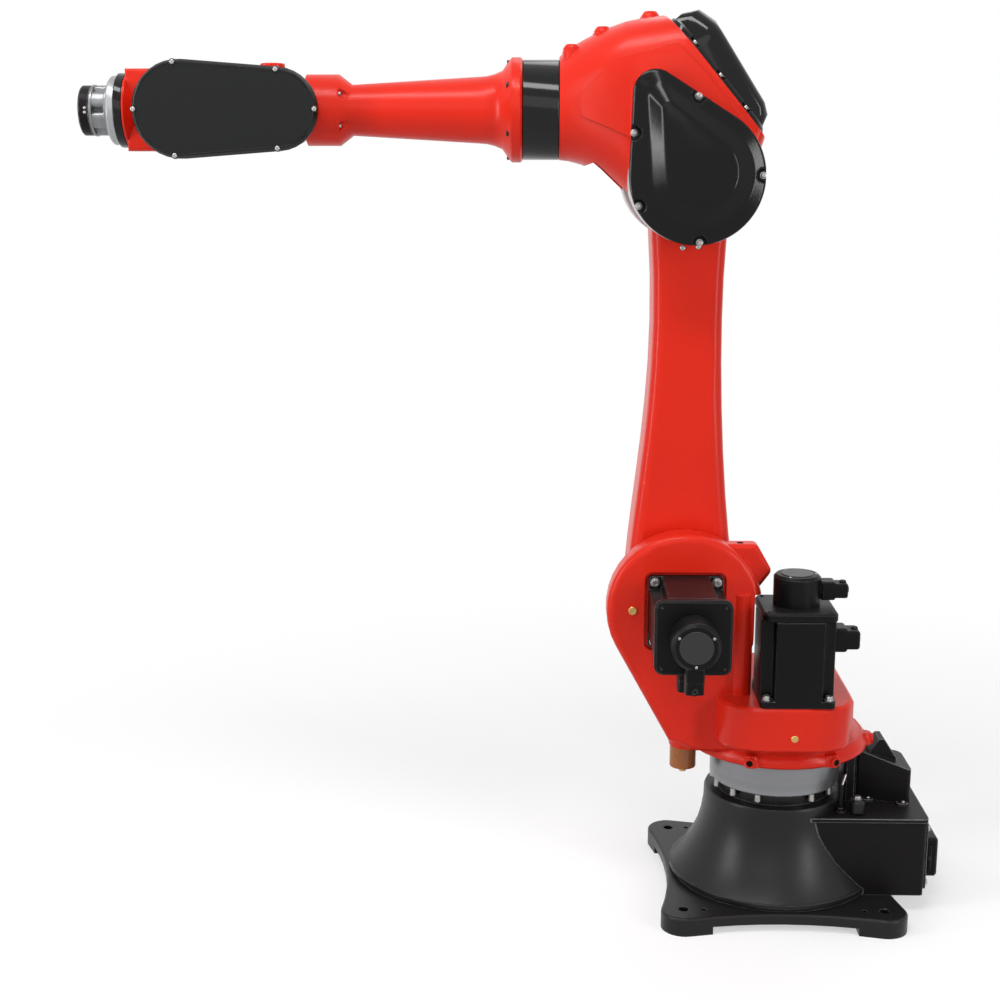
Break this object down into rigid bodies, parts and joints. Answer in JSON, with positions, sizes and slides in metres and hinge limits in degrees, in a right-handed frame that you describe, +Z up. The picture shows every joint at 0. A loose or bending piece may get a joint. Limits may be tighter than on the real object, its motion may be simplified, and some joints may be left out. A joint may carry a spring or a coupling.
{
  "type": "industrial robot arm",
  "caption": "Six-axis industrial robot arm: red castings on a black flared cast base, servo motors at the shoulder, glossy belt covers, a slim forearm and a forked wrist with a round flange.",
  "frame": {"origin": "on the floor, on the turning axis of the turret, under the base casting", "axes": "+Z up along the turning axis, +X the way the forearm points, +Y the arm's left side, where the two large servo motors are"},
  "size_m": [1.2836, 0.4743, 1.3324],
  "materials": {
    "red_paint": "smooth red enamel with a little orange peel",
    "black_paint": "satin black enamel on cast iron",
    "black_gloss": "glossy black moulding",
    "black_plastic": "matt black motor casing",
    "bare_steel": "turned bare steel",
    "pale_alloy": "machined pale alloy",
    "amber_rubber": "amber polyurethane",
    "brass": "turned brass"
  },
  "bodies": {
    "base": {"base_casting": "black_paint", "turning_gear": "bare_steel", "connector_box": "black_paint", "connector_panel": "black_paint", "connector_hood": "black_plastic", "cable_housing": "black_paint", "cable_lid": "black_paint", "stop_block": "black_paint"},
    "turret": {"turret_casting": "red_paint", "turn_bumper": "amber_rubber", "turn_bumper_bolt": "brass", "turn_motor": "black_plastic", "turn_encoder": "black_plastic", "turn_signal_plug": "black_plastic", "turn_power_plug": "black_plastic", "shoulder_motor": "black_plastic", "shoulder_encoder": "black_plastic", "shoulder_signal_plug": "black_plastic", "shoulder_power_plug": "black_plastic"},
    "lower_arm": {"lower_arm": "red_paint", "shoulder_gear_disc": "bare_steel", "shoulder_hub_cap": "red_paint", "elbow_gear_disc": "bare_steel", "elbow_bearing_disc": "bare_steel"},
    "elbow": {"elbow_housing": "red_paint", "elbow_belt_cover": "black_gloss", "elbow_side_cap": "black_gloss", "rear_cover": "black_gloss", "roll_ring": "black_gloss"},
    "forearm": {"forearm": "red_paint", "wrist_belt_cover": "black_gloss", "wrist_side_cap": "black_gloss"},
    "wrist": {"wrist_block": "red_paint", "wrist_seal": "black_gloss", "wrist_collar": "pale_alloy", "hand_gear": "bare_steel"},
    "tool": {"tool_flange": "black_paint"}
  },
  "joints": [
    {"name": "turn", "type": "hinge", "parent": "base", "child": "turret", "pos_m": [0, 0, 0.2454], "axis": [0, 0, 1], "range_deg": [-155, 155]},
    {"name": "shoulder", "type": "hinge", "parent": "turret", "child": "lower_arm", "pos_m": [0.155, 0, 0.479], "axis": [0, 1, 0], "range_deg": [-70, 95]},
    {"name": "elbow", "type": "hinge", "parent": "lower_arm", "child": "elbow", "pos_m": [0.155, 0, 1.105], "axis": [0, -1, 0], "range_deg": [-68, 85]},
    {"name": "forearm_roll", "type": "hinge", "parent": "elbow", "child": "forearm", "pos_m": [0.3967, 0, 1.197], "axis": [1, 0, 0], "range_deg": [-180, 180]},
    {"name": "wrist_tilt", "type": "hinge", "parent": "forearm", "child": "wrist", "pos_m": [0.879, 0, 1.197], "axis": [0, -1, 0], "range_deg": [-115, 115]},
    {"name": "tool_roll", "type": "hinge", "parent": "wrist", "child": "tool", "pos_m": [1.0188, 0, 1.197], "axis": [1, 0, 0], "range_deg": [-360, 360]}
  ]
}
